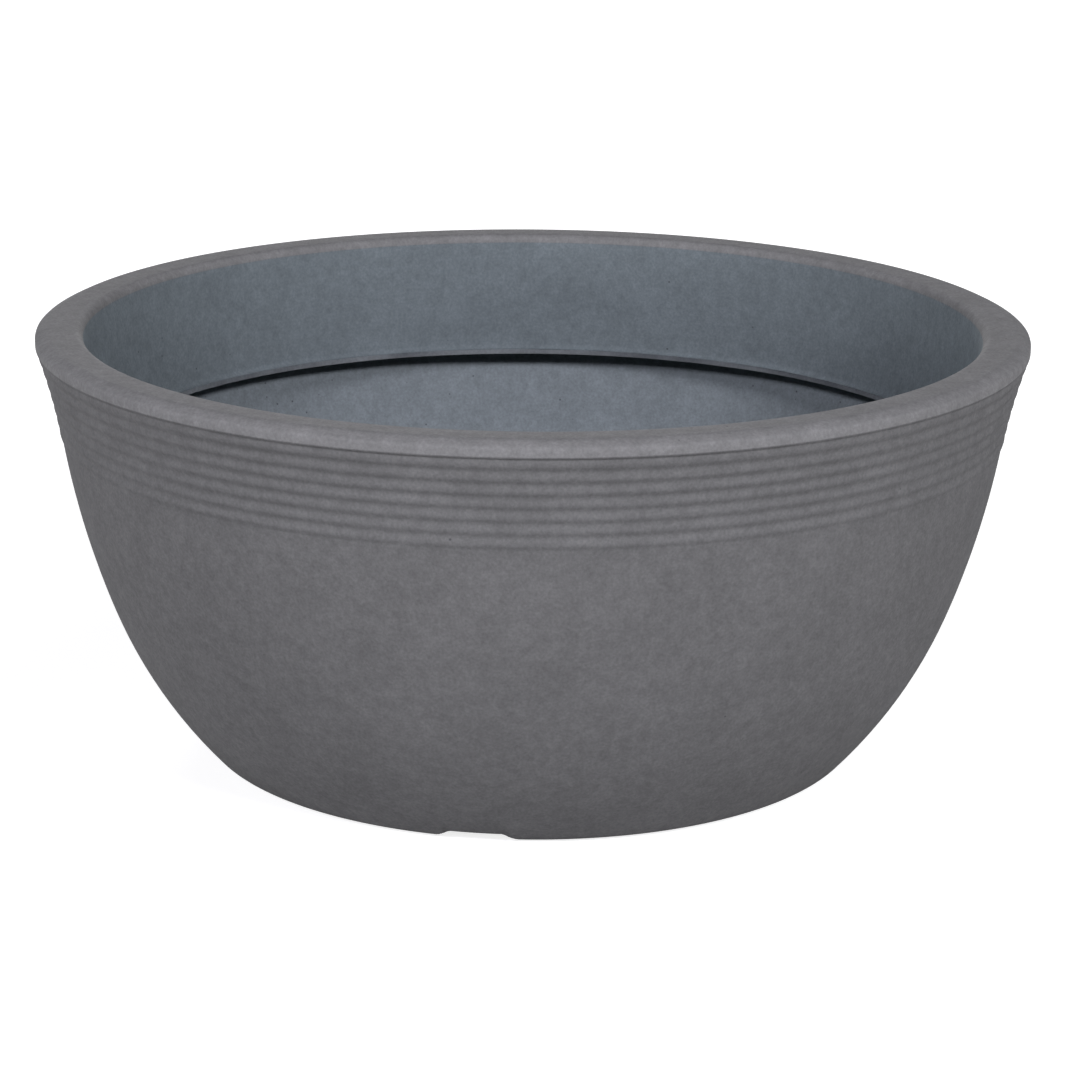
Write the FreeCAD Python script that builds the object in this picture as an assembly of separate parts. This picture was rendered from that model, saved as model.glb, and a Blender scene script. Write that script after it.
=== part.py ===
# Bowl planter: one moulded plastic shell with a hollow rim, and a push-in rubber plug in each drain hole.
# Millimetres and degrees, +Z up. The origin is on the ground, under the middle of the bowl.
# One drain notch faces -Y.
import FreeCAD, Part
import math
import os

from FreeCAD import Vector

# Shell, overall
OUTER_DIAMETER = 560.0
HEIGHT = 245.0
WALL = 4.0

# Rim: a rounded ridge with a slope on each side of it and a short outer face, which rolls in to a step below
RIM_WIDTH = 26.0
RIDGE_SETBACK = 8.5
RIDGE_RADIUS = 10.0
RIM_OUTER_SLOPE = 26.0
RIM_INNER_SLOPE = 1.0
RIM_FACE_HEIGHT = 7.3
RIM_OUTER_EDGE_RADIUS = 2.0
RIM_STEP_HEIGHT = 2.6
RIM_STEP_DEPTH = 1.4
RIM_INNER_EDGE_RADIUS = 5.0
HOLLOW_CORNER_RADIUS = 1.5

# Skirt that hangs inside the rim, with the trimmed lip at its lower end
SKIRT_DEPTH = 75.1
SKIRT_LEAN = 6.5
LIP_WIDTH = 3.2
LIP_THICKNESS = 2.9
LIP_BEND_RADIUS = 3.4
LIP_BACK_RADIUS = 5.0

# Band of soft beads under the rim, which stand out from the line of the grooves between them.
# The band flares: its lean grows from the body's lean at its foot to its own lean at its top.
BEAD_COUNT = 6
BEAD_PITCH = 7.25
BEAD_DEPTH = 0.75
FINE_BEAD_HEIGHT = 6.1
BAND_SETBACK = 3.5
BAND_LEAN = 17.0
BODY_LEAN = 9.0

# Foot: a flat ring round a raised floor, crossed by drain notches with ramped ends
FOOT_DIAMETER = 358.0
FOOT_LEAN = 42.5
FOOT_CORNER_RADIUS = 13.0
FOOT_RING_WIDTH = 29.0
FLOOR_RAISE = 6.0
FLOOR_SLOPE = 45.0
FLOOR_EDGE_RADIUS = 1.5
NOTCH_COUNT = 3
NOTCH_WIDTH = 30.0
NOTCH_RAMP = 8.0
NOTCH_HEIGHT = 5.5
NOTCH_CORNER_RADIUS = 2.5

# Drain holes, one on the line of each notch, and the plug that fills each
HOLE_DIAMETER = 20.0
HOLE_CIRCLE_DIAMETER = 190.0
PLUG_CLEARANCE = 0.3
PLUG_TAPER = 0.8
PLUG_BELOW_FLOOR = 3.0
PLUG_TIP_CHAMFER = 1.0
PLUG_SKIN = 3.0
FLANGE_OVERHANG = 7.0
FLANGE_THICKNESS = 3.0
FLANGE_EDGE_RADIUS = 1.2
GRIP_DIAMETER = 15.0
GRIP_HEAD_HEIGHT = 4.0
GRIP_NECK_DIAMETER = 8.0
GRIP_NECK_HEIGHT = 5.0
GRIP_NECK_BEND_RADIUS = 1.5

# Worked out from the sizes above
RIM_RADIUS = OUTER_DIAMETER / 2
RIDGE_TOP_RADIUS = RIM_RADIUS - RIDGE_SETBACK
LIP_Z = HEIGHT - SKIRT_DEPTH
FOOT_RADIUS = FOOT_DIAMETER / 2
RING_INNER_RADIUS = FOOT_RADIUS - FOOT_RING_WIDTH
FLOOR_RADIUS = RING_INNER_RADIUS - FLOOR_RAISE / math.tan(math.radians(FLOOR_SLOPE))
FLOOR_TOP = FLOOR_RAISE + WALL
HOLE_CIRCLE_RADIUS = HOLE_CIRCLE_DIAMETER / 2

# Helpers of the drawing, not sizes of the planter
CUT_MARGIN = 1.0
QUARTER_TURN = 90.0
FULL_TURN = 360.0
Z_AXIS = Vector(0, 0, 1)
ORIGIN = Vector(0, 0, 0)


def at(radius, height):
    """Point of a section, which is drawn in the XZ plane with the bowl's axis at X = 0."""
    return Vector(radius, 0, height)


def pointing(heading):
    """Unit vector in the section's plane, this many degrees from +X towards +Z."""
    return at(math.cos(math.radians(heading)), math.sin(math.radians(heading)))


def arc_middle(start, heading, end):
    """Middle point of the arc that leaves start along heading and reaches end."""
    chord = end - start
    swing = math.remainder(math.degrees(math.atan2(chord.z, chord.x)) - heading, FULL_TURN)
    reach = chord.Length / (2 * math.cos(math.radians(swing / 2)))
    return start + pointing(heading + swing / 2) * reach


def crossing(start, heading, other, other_heading):
    """Point where the line through start along heading meets the other line."""
    along = pointing(heading)
    across = pointing(other_heading + QUARTER_TURN)
    return start + along * ((other - start).dot(across) / along.dot(across))


class Outline:
    """Closed outline in the section's plane, drawn as one run of lines and arcs."""

    def __init__(self, start):
        self.start = start
        self.here = start
        self.edges = []

    def line(self, end):
        self.edges.append(Part.LineSegment(self.here, end).toShape())
        self.here = end

    def arc(self, middle, end):
        self.edges.append(Part.Arc(self.here, middle, end).toShape())
        self.here = end

    def bend(self, heading, end):
        """Arc that leaves along heading and reaches end."""
        self.arc(arc_middle(self.here, heading, end), end)

    def sway(self, heading, end):
        """Two equal arcs that leave and arrive along the same heading."""
        middle = (self.here + end) / 2
        self.bend(heading, middle)
        self.arc(arc_middle(end, heading + FULL_TURN / 2, middle), end)

    def turn(self, corner, radius, towards):
        """Line up to a rounded corner, and round it, ready to go on towards the next point."""
        back = (self.here - corner).normalize()
        onward = (towards - corner).normalize()
        inward = (back + onward).normalize()
        half_angle = back.getAngle(onward) / 2
        reach = radius / math.tan(half_angle)
        cut_back = radius / math.sin(half_angle) - radius
        self.line(corner + back * reach)
        self.arc(corner + inward * cut_back, corner + onward * reach)

    def double_arc(self, heading, end, end_heading):
        """Two arcs that meet smoothly, leaving along heading and arriving along end_heading."""
        start = self.here
        leave = pointing(heading)
        arrive = pointing(end_heading)
        across = end - start
        a = 2 * (leave.dot(arrive) - 1)
        b = -2 * across.dot(leave + arrive)
        c = across.dot(across)
        reach = (-b - math.sqrt(b * b - 4 * a * c)) / (2 * a)
        joint = (start + end + (leave - arrive) * reach) / 2
        self.bend(heading, joint)
        self.arc(arc_middle(end, end_heading + FULL_TURN / 2, joint), end)

    def face(self):
        if self.here.distanceToPoint(self.start) > Part.Precision.confusion():
            self.line(self.start)
        return Part.Face(Part.Wire(self.edges))


def revolved(face):
    return face.revolve(ORIGIN, Z_AXIS, FULL_TURN)


def skirt_radius(height):
    """Radius of the skirt's inner face."""
    return RIM_RADIUS - RIM_WIDTH - (HEIGHT - height) * math.tan(math.radians(SKIRT_LEAN))


def wall_normal(lean):
    """Outward normal of a wall that leans out by this angle from upright."""
    return pointing(-lean)


def downwards(lean):
    """Heading down a wall that leans out by this angle from upright."""
    return -QUARTER_TURN - lean


def upwards(lean):
    return QUARTER_TURN - lean


def foot_corner(lean, depth):
    """Point of the rounded foot corner where the wall leans by lean, this deep inside the outer face."""
    return at(FOOT_RADIUS, FOOT_CORNER_RADIUS) + wall_normal(lean) * (FOOT_CORNER_RADIUS - depth)


def ridge_end(slope, side):
    """Where the rounded ridge of the rim runs out into its outer (side 1) or inner (side -1) slope."""
    turn = math.radians(slope)
    return at(
        RIDGE_TOP_RADIUS + side * RIDGE_RADIUS * math.sin(turn),
        HEIGHT - RIDGE_RADIUS * (1 - math.cos(turn)),
    )


RIDGE_TOP = at(RIDGE_TOP_RADIUS, HEIGHT)
OUTER_SLOPE_TOP = ridge_end(RIM_OUTER_SLOPE, 1)
INNER_SLOPE_TOP = ridge_end(RIM_INNER_SLOPE, -1)
OUTER_SLOPE_HEADING = -RIM_OUTER_SLOPE
INNER_SLOPE_HEADING = FULL_TURN / 2 + RIM_INNER_SLOPE
RIM_EDGE = crossing(OUTER_SLOPE_TOP, OUTER_SLOPE_HEADING, at(RIM_RADIUS, 0), QUARTER_TURN)
STEP_Z = RIM_EDGE.z - RIM_FACE_HEIGHT


def band_lean(index):
    """Lean of one bead of the band."""
    return BAND_LEAN + (BODY_LEAN - BAND_LEAN) * (index + 0.5) / BEAD_COUNT


def groove(index):
    """Bottom of one groove of the band, from the one under the fine bead to the top of the plain body."""
    steps_in = [BEAD_PITCH * math.tan(math.radians(band_lean(i))) for i in range(index)]
    return at(RIM_RADIUS - BAND_SETBACK - sum(steps_in), STEP_Z - FINE_BEAD_HEIGHT - index * BEAD_PITCH)


def bead_crest(index):
    """Middle of one bead, which stands out from the line between its two grooves."""
    return (groove(index) + groove(index + 1)) / 2 + wall_normal(band_lean(index)) * BEAD_DEPTH


def draw_beads(outline):
    """From the step under the rim, down the fine bead and the beads, to the top of the plain body."""
    half_pitch = at(math.tan(math.radians(BAND_LEAN)), 1) * (BEAD_PITCH / 2)
    fine_crest = groove(0) + half_pitch + wall_normal(BAND_LEAN) * BEAD_DEPTH
    outline.arc(arc_middle(fine_crest, upwards(BAND_LEAN), outline.here), fine_crest)
    outline.sway(downwards(BAND_LEAN), groove(0))
    for index in range(BEAD_COUNT):
        down = downwards(band_lean(index))
        outline.sway(down, bead_crest(index))
        outline.sway(down, groove(index + 1))


def draw_outside(outline):
    """Outer face of the shell, from the rim's ridge, over the beads, to the axis under the bowl."""
    rim_lower_edge = at(RIM_RADIUS, STEP_Z + RIM_STEP_HEIGHT)
    step_root = at(RIM_RADIUS - RIM_STEP_DEPTH, STEP_Z)
    ring_edge = at(RING_INNER_RADIUS, 0)
    floor_edge = at(FLOOR_RADIUS, FLOOR_RAISE)
    floor_middle = at(0, FLOOR_RAISE)
    corner_lean = (FOOT_LEAN + QUARTER_TURN) / 2
    outline.bend(0, OUTER_SLOPE_TOP)
    outline.turn(RIM_EDGE, RIM_OUTER_EDGE_RADIUS, rim_lower_edge)
    outline.line(rim_lower_edge)
    outline.sway(-QUARTER_TURN, step_root)
    draw_beads(outline)
    outline.double_arc(downwards(BODY_LEAN), foot_corner(FOOT_LEAN, 0), downwards(FOOT_LEAN))
    outline.arc(foot_corner(corner_lean, 0), foot_corner(QUARTER_TURN, 0))
    outline.turn(ring_edge, FLOOR_EDGE_RADIUS, floor_edge)
    outline.turn(floor_edge, FLOOR_EDGE_RADIUS, floor_middle)
    outline.line(floor_middle)


def draw_inside(outline):
    """Inner face of the shell, from the axis on the floor, up the wall to the top of the plain body."""
    mitre = WALL * math.tan(math.radians(FLOOR_SLOPE / 2))
    floor_edge = at(FLOOR_RADIUS + mitre, FLOOR_TOP)
    trough_edge = at(RING_INNER_RADIUS + mitre, WALL)
    trough_end = foot_corner(QUARTER_TURN, WALL)
    body_top_inside = groove(BEAD_COUNT) - wall_normal(BODY_LEAN) * WALL
    corner_lean = (FOOT_LEAN + QUARTER_TURN) / 2
    outline.line(at(0, FLOOR_TOP))
    outline.turn(floor_edge, FLOOR_EDGE_RADIUS, trough_edge)
    outline.turn(trough_edge, FLOOR_EDGE_RADIUS, trough_end)
    outline.line(trough_end)
    outline.arc(foot_corner(corner_lean, WALL), foot_corner(FOOT_LEAN, WALL))
    outline.double_arc(upwards(FOOT_LEAN), body_top_inside, upwards(BODY_LEAN))


def draw_rim_and_skirt(outline):
    """Hollow behind the band, the skirt's back, the trimmed lip, and the skirt's face up to the rim."""
    lip_top_z = LIP_Z + LIP_THICKNESS
    lip_radius = skirt_radius(lip_top_z) - LIP_WIDTH
    skirt_across = WALL / math.cos(math.radians(SKIRT_LEAN))
    bend_back = at(skirt_radius(LIP_Z) + skirt_across, LIP_Z)
    roof_outer = OUTER_SLOPE_TOP - pointing(QUARTER_TURN + OUTER_SLOPE_HEADING) * WALL
    roof_inner = INNER_SLOPE_TOP + pointing(QUARTER_TURN + INNER_SLOPE_HEADING) * WALL
    band_top_inside = groove(0) - wall_normal(BAND_LEAN) * WALL
    hollow_outer = crossing(roof_outer, OUTER_SLOPE_HEADING, band_top_inside, upwards(BAND_LEAN))
    hollow_inner = crossing(roof_inner, INNER_SLOPE_HEADING, bend_back, upwards(SKIRT_LEAN))
    bend_face = at(skirt_radius(lip_top_z), lip_top_z)
    lip_bottom = at(lip_radius, LIP_Z)
    rim_inner_edge = crossing(INNER_SLOPE_TOP, INNER_SLOPE_HEADING, bend_face, upwards(SKIRT_LEAN))
    outline.bend(upwards(BODY_LEAN), band_top_inside)
    outline.turn(hollow_outer, HOLLOW_CORNER_RADIUS, roof_outer)
    outline.line(roof_outer)
    outline.arc(arc_middle(roof_inner, INNER_SLOPE_HEADING - FULL_TURN / 2, roof_outer), roof_inner)
    outline.turn(hollow_inner, HOLLOW_CORNER_RADIUS, bend_back)
    outline.turn(bend_back, LIP_BACK_RADIUS, lip_bottom)
    outline.line(lip_bottom)
    outline.line(at(lip_radius, lip_top_z))
    outline.turn(bend_face, LIP_BEND_RADIUS, rim_inner_edge)
    outline.turn(rim_inner_edge, RIM_INNER_EDGE_RADIUS, INNER_SLOPE_TOP)
    outline.line(INNER_SLOPE_TOP)
    outline.arc(arc_middle(RIDGE_TOP, FULL_TURN / 2, INNER_SLOPE_TOP), RIDGE_TOP)


def moulded_skin():
    outline = Outline(RIDGE_TOP)
    draw_outside(outline)
    draw_inside(outline)
    draw_rim_and_skirt(outline)
    return revolved(outline.face())


def filled_bowl():
    """Everything inside the shell's outer face, up to the level of the rim's top."""
    outline = Outline(at(0, HEIGHT))
    outline.line(RIDGE_TOP)
    draw_outside(outline)
    return revolved(outline.face())


def notch_direction(index):
    """Angle of one notch about the axis, from +X towards +Y: the first faces -Y."""
    return -QUARTER_TURN + index * FULL_TURN / NOTCH_COUNT


def notch_channel(growth):
    """Channel with ramped sides across the foot ring, on the +X side, made larger by growth."""
    ramp_angle = math.atan2(NOTCH_HEIGHT, NOTCH_RAMP)
    half_top = NOTCH_WIDTH / 2 + growth * math.tan(ramp_angle / 2)
    half_foot = NOTCH_WIDTH / 2 + NOTCH_RAMP + growth / math.sin(ramp_angle)
    top = NOTCH_HEIGHT + growth
    corner_radius = NOTCH_CORNER_RADIUS + growth
    outline = Outline(at(-half_foot, -CUT_MARGIN))
    outline.line(at(-half_foot, 0))
    outline.turn(at(-half_top, top), corner_radius, at(half_top, top))
    outline.turn(at(half_top, top), corner_radius, at(half_foot, 0))
    outline.line(at(half_foot, 0))
    outline.line(at(half_foot, -CUT_MARGIN))
    section = outline.face()
    section.rotate(ORIGIN, Z_AXIS, QUARTER_TURN)
    inner_end = FLOOR_RADIUS - growth
    section.translate(Vector(inner_end, 0, 0))
    return section.extrude(Vector(RIM_RADIUS - inner_end, 0, 0))


def drain_hole():
    """Cutter for one hole through the floor, on the +X side."""
    return Part.makeCylinder(
        HOLE_DIAMETER / 2,
        WALL + 2 * CUT_MARGIN,
        Vector(HOLE_CIRCLE_RADIUS, 0, FLOOR_RAISE - CUT_MARGIN),
    )


def planter_shell():
    """The moulding: a revolved skin, with the notches pushed up into the foot and the drain holes cut."""
    bowl = filled_bowl()
    roofs = []
    cuts = []
    for index in range(NOTCH_COUNT):
        direction = notch_direction(index)
        roofs.append(notch_channel(WALL).rotated(ORIGIN, Z_AXIS, direction).common(bowl))
        cuts.append(notch_channel(0).rotated(ORIGIN, Z_AXIS, direction))
        cuts.append(drain_hole().rotated(ORIGIN, Z_AXIS, direction))
    return moulded_skin().fuse(roofs).cut(cuts).removeSplitter()


def drain_plug(index):
    """Rubber plug, pushed in from above: a tapered hollow stem, a flange on the floor and a grip."""
    stem_radius = HOLE_DIAMETER / 2 - PLUG_CLEARANCE
    tip_radius = stem_radius - PLUG_TAPER
    tip_z = FLOOR_RAISE - PLUG_BELOW_FLOOR
    core_radius = tip_radius - PLUG_SKIN
    flange_radius = HOLE_DIAMETER / 2 + FLANGE_OVERHANG
    flange_z = FLOOR_TOP + FLANGE_THICKNESS
    neck_radius = GRIP_NECK_DIAMETER / 2
    head_z = flange_z + GRIP_NECK_HEIGHT
    head_edge = at(GRIP_DIAMETER / 2, head_z)
    head_top = at(0, head_z + GRIP_HEAD_HEIGHT)
    outline = Outline(at(0, FLOOR_TOP))
    outline.line(at(core_radius, FLOOR_TOP))
    outline.line(at(core_radius, tip_z))
    outline.line(at(tip_radius - PLUG_TIP_CHAMFER, tip_z))
    outline.line(at(tip_radius, tip_z + PLUG_TIP_CHAMFER))
    outline.line(at(stem_radius, FLOOR_TOP))
    outline.line(at(flange_radius, FLOOR_TOP))
    outline.turn(at(flange_radius, flange_z), FLANGE_EDGE_RADIUS, at(neck_radius, flange_z))
    outline.turn(at(neck_radius, flange_z), GRIP_NECK_BEND_RADIUS, at(neck_radius, head_z))
    outline.line(at(neck_radius, head_z))
    outline.line(head_edge)
    outline.arc(arc_middle(head_top, 0, head_edge), head_top)
    plug = revolved(outline.face())
    plug.translate(Vector(HOLE_CIRCLE_RADIUS, 0, 0))
    return plug.rotated(ORIGIN, Z_AXIS, notch_direction(index))


os.makedirs("parts", exist_ok=True)
planter_shell().exportStep("parts/planter_shell.step")
for plug_index in range(NOTCH_COUNT):
    drain_plug(plug_index).exportStep(f"parts/drain_plug_{plug_index + 1}.step")
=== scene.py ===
# Bowl planter: a matte stone-look shell in moulded polyethylene, with rubber plugs in its drain holes.
import math

import bpy
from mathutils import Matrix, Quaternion, Vector


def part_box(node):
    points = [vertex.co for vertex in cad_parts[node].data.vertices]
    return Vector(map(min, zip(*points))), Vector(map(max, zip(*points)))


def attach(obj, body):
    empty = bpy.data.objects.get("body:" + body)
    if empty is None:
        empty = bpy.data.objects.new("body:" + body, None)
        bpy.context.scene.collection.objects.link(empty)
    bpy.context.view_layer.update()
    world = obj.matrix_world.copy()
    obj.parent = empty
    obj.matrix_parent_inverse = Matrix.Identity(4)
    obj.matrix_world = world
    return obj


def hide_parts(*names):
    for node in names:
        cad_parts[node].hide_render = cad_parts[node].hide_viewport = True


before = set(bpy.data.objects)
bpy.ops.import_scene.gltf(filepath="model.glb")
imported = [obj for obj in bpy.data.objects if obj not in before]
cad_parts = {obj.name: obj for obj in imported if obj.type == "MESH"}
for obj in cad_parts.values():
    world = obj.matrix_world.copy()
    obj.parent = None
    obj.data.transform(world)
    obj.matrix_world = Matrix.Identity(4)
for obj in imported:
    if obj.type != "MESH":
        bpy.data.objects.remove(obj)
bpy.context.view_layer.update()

MM = 0.001

# Sizes that the frame gives, in millimetres
SHELL_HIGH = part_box("planter_shell")[1]
RIM_RADIUS = SHELL_HIGH.x / MM
HEIGHT = SHELL_HIGH.z / MM

# The shell's wall, rim, skirt and lip, in millimetres and degrees
WALL = 4.0
RIM_WIDTH = 26.0
RIDGE_SETBACK = 8.5
RIDGE_RADIUS = 10.0
RIM_OUTER_SLOPE = 26.0
RIM_INNER_SLOPE = 1.0
RIM_FACE_HEIGHT = 7.3
RIM_OUTER_EDGE_RADIUS = 2.0
RIM_STEP_HEIGHT = 2.6
RIM_STEP_DEPTH = 1.4
RIM_INNER_EDGE_RADIUS = 5.0
HOLLOW_CORNER_RADIUS = 1.5
SKIRT_DEPTH = 75.1
SKIRT_LEAN = 6.5
LIP_WIDTH = 3.2
LIP_THICKNESS = 2.9
LIP_BEND_RADIUS = 3.4
LIP_BACK_RADIUS = 5.0

# The band of beads, which leans out from the body's lean at its foot to its own lean at its top
BEAD_COUNT = 6
BEAD_PITCH = 7.25
BEAD_DEPTH = 0.75
FINE_BEAD_HEIGHT = 6.1
BAND_SETBACK = 3.5
BAND_LEAN = 17.0
BODY_LEAN = 9.0

# The foot, its notches and the drain holes
FOOT_RADIUS = 179.0
FOOT_LEAN = 42.5
FOOT_CORNER_RADIUS = 13.0
FOOT_RING_WIDTH = 29.0
FLOOR_RAISE = 6.0
FLOOR_SLOPE = 45.0
FLOOR_EDGE_RADIUS = 1.5
NOTCH_COUNT = 3
NOTCH_DIRECTION = -90.0
NOTCH_WIDTH = 30.0
NOTCH_RAMP = 8.0
NOTCH_HEIGHT = 5.5
HOLE_DIAMETER = 20.0
HOLE_CIRCLE_RADIUS = 95.0

# The plugs
PLUG_CLEARANCE = 0.3
PLUG_TAPER = 0.8
PLUG_BELOW_FLOOR = 3.0
PLUG_TIP_CHAMFER = 1.0
PLUG_SKIN = 3.0
FLANGE_OVERHANG = 7.0
FLANGE_THICKNESS = 3.0
FLANGE_EDGE_RADIUS = 1.2
GRIP_DIAMETER = 15.0
GRIP_HEAD_HEIGHT = 4.0
GRIP_NECK_DIAMETER = 8.0
GRIP_NECK_HEIGHT = 5.0
GRIP_NECK_BEND_RADIUS = 1.5

# Heights and radii that follow from the sizes above
RIDGE_TOP_RADIUS = RIM_RADIUS - RIDGE_SETBACK
LIP_Z = HEIGHT - SKIRT_DEPTH
RING_INNER_RADIUS = FOOT_RADIUS - FOOT_RING_WIDTH
FLOOR_RADIUS = RING_INNER_RADIUS - FLOOR_RAISE / math.tan(math.radians(FLOOR_SLOPE))
FLOOR_TOP = FLOOR_RAISE + WALL

# Mesh spacing along a section, in millimetres, and steps round the axis
FINE_STEP = 0.9
MEDIUM_STEP = 2.5
COARSE_STEP = 8.0
FLOOR_STEP = 30.0
SHELL_STEPS_AROUND = 360
PLUG_STEPS_AROUND = 72
SMALL_FACE_STEP = 0.35
PATH_RADIUS = 100.0
NOTCH_GATHERING = 0.55
SHARP_BEND = 40.0
WELD_DISTANCE = 0.01

# How far the cut edge of the lip wanders, and how long its waves are
LIP_WAVER = 0.5
LIP_WAVER_LENGTH = 30.0

# The stone-look plastic: the size of each pattern in millimetres, and the share by which it changes the tone
MOTTLE_SIZE = 28.0
MOTTLE_SWING = 0.06
BLOTCH_SIZE = 6.0
BLOTCH_SWING = 0.07
GRAIN_SIZE = 1.6
GRAIN_SWING = 0.14
GRAIN_RELIEF = 0.3
# Size of the patches of painted light and shade along the lip's cut face
CUT_LIGHT_PATCH_SIZE = 70.0
BODY_COLOUR = "#6a6a6a"
# Rim painted paler than the body: a painted highlight for the light the rim catches
RIM_LIT_COLOUR = "#7a7a7a"
# Skirt and inner skin painted paler and cooler than the body: painted light, standing for the light that
# reaches them
SKIRT_LIT_COLOUR = "#6d7579"
INNER_LIT_COLOUR = "#798084"
# Cut face painted darker as painted shade, with paler patches of painted light
CUT_SHADE_COLOUR = "#5a5d61"
CUT_LIGHT_COLOUR = "#767a7d"

# Its pinholes: the size of their cells, the share of cells that hold one, and what the inside adds to it
PINHOLE_SPACING = 7.0
PINHOLE_SHARE = 0.01
SKIRT_PINHOLE_SHARE = 0.1
INNER_PINHOLE_SHARE = 0.35
# Dark fill of the pinholes: painted shade in the pits, which are also dented by the bump
PINHOLE_SHADE_COLOUR = "#434346"

# The plugs' rubber, with a pale bloom and a fine grit
RUBBER_COLOUR = "#202022"
BLOOM_COLOUR = "#343437"
BLOOM_SIZE = 9.0
GRIT_SIZE = 0.6
GRIT_RELIEF = 0.1

# The camera, from the outline of the bowl in the picture: degrees, and millimetres from the axis
IMAGE_SIZE = 1070
CAMERA_AZIMUTH = 8.7
CAMERA_ELEVATION = 15.87
CAMERA_DISTANCE = 2000.0
CAMERA_AIM_Z = 118.2
CAMERA_ROLL = 0.45
CAMERA_FOCAL_PIXELS = 3466.0
CAMERA_SHIFT_PIXELS = 3.6
SENSOR_WIDTH = 36.0

# The studio: a card just under the bowl that glows white further off, a dim room and soft boxes
CARD_SIZE = 16000.0
CARD_GAP = 0.3
CARD_COLOUR = "#bcbcbc"
CARD_GLOW = 0.8
CARD_GLOW_RADIUS = 330.0
CARD_WHITE_RADIUS = 1100.0
WHITE = "#ffffff"
ROOM_STRENGTH = 0.01
LIGHT_AIM_Z = 150.0
LIGHT_DISTANCE = 5000.0
SOFT_BOX_WIDTH = 1200.0
SOFT_BOX_HEIGHT = 750.0
SOFT_BOXES = (
    # name, degrees round from the front, degrees up, brightness, colour
    ("left_box", -24, 32, 0.48, "#f6f5ff"),
    ("right_box", 42, 32, 0.64, "#f9f8ff"),
    ("left_low_box", -62, 5, 0.31, "#fdfcff"),
    ("right_low_box", 60, 5, 0.23, "#fdfcff"),
    ("back_box", -168, 9, 0.46, "#ffffff"),
)


def at(radius, height):
    """Point of a section: distance from the axis and height, in millimetres."""
    return Vector((radius, height))


def pointing(heading):
    return at(math.cos(math.radians(heading)), math.sin(math.radians(heading)))


def heading_of(step):
    return math.degrees(math.atan2(step.y, step.x))


def half_turn_to(start, heading, end):
    """Angle from heading to the chord: half of what the arc that leaves along heading turns to reach end."""
    return math.remainder(heading_of(end - start) - heading, 360.0)


def crossing(start, heading, other, other_heading):
    """Point where the line through start along heading meets the other line."""
    along = pointing(heading)
    across = pointing(other_heading + 90)
    return start + along * ((other - start).dot(across) / along.dot(across))


class Section:
    """Section of a turned piece: marked points along lines and arcs, from axis to axis."""

    def __init__(self, start, mark=""):
        self.points = [start]
        self.marks = [mark]
        self.mark = mark

    @property
    def here(self):
        return self.points[-1]

    def add(self, point):
        self.points.append(point)
        self.marks.append(self.mark)

    def line(self, end, step=COARSE_STEP):
        start = self.here
        count = max(1, round((end - start).length / step))
        for i in range(1, count + 1):
            self.add(start.lerp(end, i / count))

    def arc(self, heading, end, step=FINE_STEP):
        """Arc that leaves along heading and reaches end."""
        start = self.here
        chord = (end - start).length
        swing = half_turn_to(start, heading, end)
        swing_sine = math.sin(math.radians(swing))
        length = chord * math.radians(swing) / swing_sine
        count = max(2, round(length / step))
        for i in range(1, count + 1):
            part = swing * i / count
            reach = chord * math.sin(math.radians(part)) / swing_sine
            self.add(start + pointing(heading + part) * reach)

    def arc_into(self, end, end_heading, step=FINE_STEP):
        """Arc that arrives at end along end_heading."""
        self.arc(end_heading + 2 * half_turn_to(end, end_heading + 180, self.here), end, step)

    def sway(self, heading, end, step=FINE_STEP):
        """Two equal arcs that leave and arrive along the same heading."""
        self.arc(heading, self.here.lerp(end, 0.5), step)
        self.arc_into(end, heading, step)

    def turn(self, corner, radius, towards, step=FINE_STEP, line_step=COARSE_STEP):
        """Line up to a rounded corner, and round it, ready to go on towards the next point."""
        back = (self.here - corner).normalized()
        onward = (towards - corner).normalized()
        reach = radius / math.tan(back.angle(onward) / 2)
        self.line(corner + back * reach, line_step)
        self.arc(heading_of(-back), corner + onward * reach, step)

    def double_arc(self, heading, end, end_heading, step=COARSE_STEP):
        """Two arcs that meet smoothly, leaving along heading and arriving along end_heading."""
        start = self.here
        leave = pointing(heading)
        arrive = pointing(end_heading)
        across = end - start
        a = 2 * (leave.dot(arrive) - 1)
        b = -2 * across.dot(leave + arrive)
        c = across.dot(across)
        reach = (-b - math.sqrt(b * b - 4 * a * c)) / (2 * a)
        joint = (start + end + (leave - arrive) * reach) / 2
        self.arc(heading, joint, step)
        self.arc_into(end, end_heading, step)


def skirt_radius(height):
    """Radius of the skirt's inner face."""
    return RIM_RADIUS - RIM_WIDTH - (HEIGHT - height) * math.tan(math.radians(SKIRT_LEAN))


def foot_corner(lean, depth):
    """Point of the rounded foot corner where the wall leans by lean, this deep inside the outer face."""
    return at(FOOT_RADIUS, FOOT_CORNER_RADIUS) + pointing(-lean) * (FOOT_CORNER_RADIUS - depth)


def ridge_end(slope, side):
    """Where the rounded ridge of the rim runs out into its outer (side 1) or inner (side -1) slope."""
    turn = math.radians(slope)
    out = RIDGE_RADIUS * math.sin(turn)
    return at(RIDGE_TOP_RADIUS + side * out, HEIGHT - RIDGE_RADIUS * (1 - math.cos(turn)))


RIDGE_TOP = at(RIDGE_TOP_RADIUS, HEIGHT)
OUTER_SLOPE_TOP = ridge_end(RIM_OUTER_SLOPE, 1)
INNER_SLOPE_TOP = ridge_end(RIM_INNER_SLOPE, -1)
RIM_EDGE = crossing(OUTER_SLOPE_TOP, -RIM_OUTER_SLOPE, at(RIM_RADIUS, 0), 90)
STEP_Z = RIM_EDGE.y - RIM_FACE_HEIGHT


def band_lean(index):
    """Lean of one bead of the band."""
    return BAND_LEAN + (BODY_LEAN - BAND_LEAN) * (index + 0.5) / BEAD_COUNT


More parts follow.
